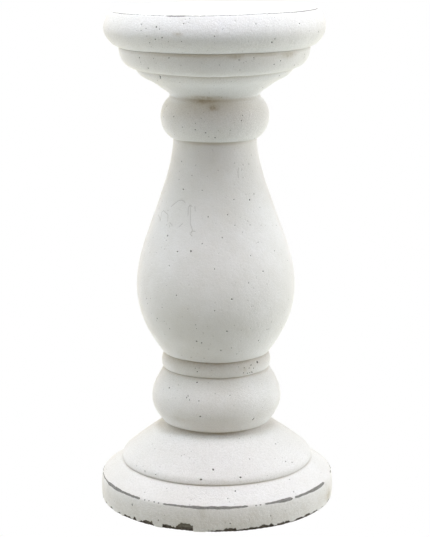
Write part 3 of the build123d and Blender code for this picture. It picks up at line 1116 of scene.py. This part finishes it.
def build_stage():
    """An evenly lit white cove: a table top that curves up into a backdrop all round, far away."""
    columns = STAGE_COLUMNS
    profile = [(0.0, 0.0), (STAGE_HALF * 0.9, 0.0)]
    profile += [(STAGE_HALF, STAGE_HALF * 0.1), (STAGE_HALF, STAGE_HALF)]
    bm = bmesh.new()
    rings = []
    for r, z in profile:
        count = columns if r else 1
        angles = [2 * math.pi * k / columns for k in range(count)]
        rings.append([bm.verts.new((r * math.cos(a), r * math.sin(a), z)) for a in angles])
    for a, b in zip(rings, rings[1:]):
        for k in range(columns):
            n = (k + 1) % columns
            bm.faces.new((a[0], b[n], b[k]) if len(a) == 1 else (a[k], a[n], b[n], b[k]))
    mesh = bpy.data.meshes.new("cove")
    bm.to_mesh(mesh)
    bm.free()
    cove = bpy.data.objects.new("cove", mesh)
    bpy.context.collection.objects.link(cove)
    material = bpy.data.materials.new("cove")
    material.use_nodes = True
    shader = material.node_tree.nodes["Principled BSDF"]
    shader.inputs["Base Color"].default_value = (0, 0, 0, 1)
    shader.inputs["Specular IOR Level"].default_value = 0.0
    shader.inputs["Emission Color"].default_value = (1, 1, 1, 1)
    shader.inputs["Emission Strength"].default_value = 1.0
    material.cycles.emission_sampling = "NONE"
    mesh.materials.append(material)
    cove.visible_diffuse = False
    cove.visible_glossy = False
    cove.visible_shadow = False


def build_world():
    """The studio's light: the sum of the soft patches, each brightest in its own direction."""
    world = bpy.data.worlds.new("studio")
    bpy.context.scene.world = world
    world.use_nodes = True
    tree = world.node_tree

    def vector_node(operation, a, b=None, scale=None):
        node = tree.nodes.new("ShaderNodeVectorMath")
        node.operation = operation
        for socket, value in ((node.inputs[0], a), (node.inputs[1], b), (node.inputs[3], scale)):
            if isinstance(value, bpy.types.NodeSocket):
                tree.links.new(value, socket)
            elif value is not None:
                socket.default_value = value
        return node.outputs["Value"] if operation == "DOT_PRODUCT" else node.outputs["Vector"]

    def math_node(operation, a, b=0.0):
        node = tree.nodes.new("ShaderNodeMath")
        node.operation = operation
        tree.links.new(a, node.inputs[0])
        node.inputs[1].default_value = b
        return node.outputs[0]

    view = vector_node("NORMALIZE", tree.nodes.new("ShaderNodeTexCoord").outputs["Generated"])
    light = None
    for azimuth, elevation, sharpness, colour in SKY_PATCHES:
        around, above = math.radians(azimuth), math.radians(elevation)
        flat = math.cos(above)
        centre = (flat * math.sin(around), -flat * math.cos(around), math.sin(above))
        aside = math_node("SUBTRACT", vector_node("DOT_PRODUCT", view, centre), 1.0)
        glow = math_node("EXPONENT", math_node("MULTIPLY", aside, sharpness))
        patch = vector_node("SCALE", colour, scale=glow)
        light = patch if light is None else vector_node("ADD", light, patch)
    tree.links.new(light, tree.nodes["Background"].inputs["Color"])
    tree.nodes["Background"].inputs["Strength"].default_value = SKY_STRENGTH


def build_lamps():
    """Square lamps just above the object, which light the plate more than the foot."""
    for i, (place, side, watts, colour) in enumerate(LAMPS):
        light = bpy.data.lights.new("lamp_%d" % i, "AREA")
        light.size = side
        light.energy = watts
        light.color = colour
        lamp = bpy.data.objects.new("lamp_%d" % i, light)
        lamp.location = place
        lamp.rotation_euler = (Vector(LAMPS_AIM) - Vector(place)).to_track_quat("-Z", "Y").to_euler()
        lamp.visible_camera = False
        bpy.context.collection.objects.link(lamp)


def build_camera():
    """A long-lens view, slightly from above."""
    data = bpy.data.cameras.new("camera")
    data.sensor_width = SENSOR
    data.lens = CAMERA_LENS
    data.shift_x = CAMERA_SHIFT
    data.clip_start = 0.05
    data.clip_end = 4 * STAGE_HALF
    camera = bpy.data.objects.new("camera", data)
    camera.location = CAMERA_PLACE
    look = Quaternion((1, 0, 0), math.radians(90 - CAMERA_DOWN))
    roll = Quaternion((0, 0, 1), math.radians(CAMERA_ROLL))
    camera.rotation_euler = (look @ roll).to_euler()
    bpy.context.collection.objects.link(camera)
    bpy.context.scene.camera = camera


def main():
    """Builds the camera, the light, the stage, the castings, the hardware's finishes and the felt."""
    bpy.context.scene.view_settings.view_transform = "Standard"
    build_camera()
    build_world()
    build_lamps()
    build_stage()

    casting = painted_casting()
    names = list(CASTINGS)
    for i, node in enumerate(names):
        joint_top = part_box(names[i + 1])[0][2] / MM if i + 1 < len(names) else None
        mesh = build_casting(node, joint_top, CASTINGS[node])
        piece = bpy.data.objects.new("cast_" + node, mesh)
        bpy.context.collection.objects.link(piece)
        wear_material(piece, casting)
        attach(piece, BODY)
        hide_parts(node)

    brass = metal("brass_insert", BRASS, DULL_BRASS, 0.28)
    zinc = metal("zinc_steel", ZINC, DULL_ZINC, 0.30)
    wear_material(frame["nodes"]["threaded_insert"], brass)
    for node in ("tie_rod", "penny_washer", "spring_washer", "hex_nut"):
        wear_material(frame["nodes"][node], zinc)
    felt = felt_material()
    for node in frame["nodes"]:
        if node.startswith("felt_pad"):
            felt_piece(node, felt)


main()
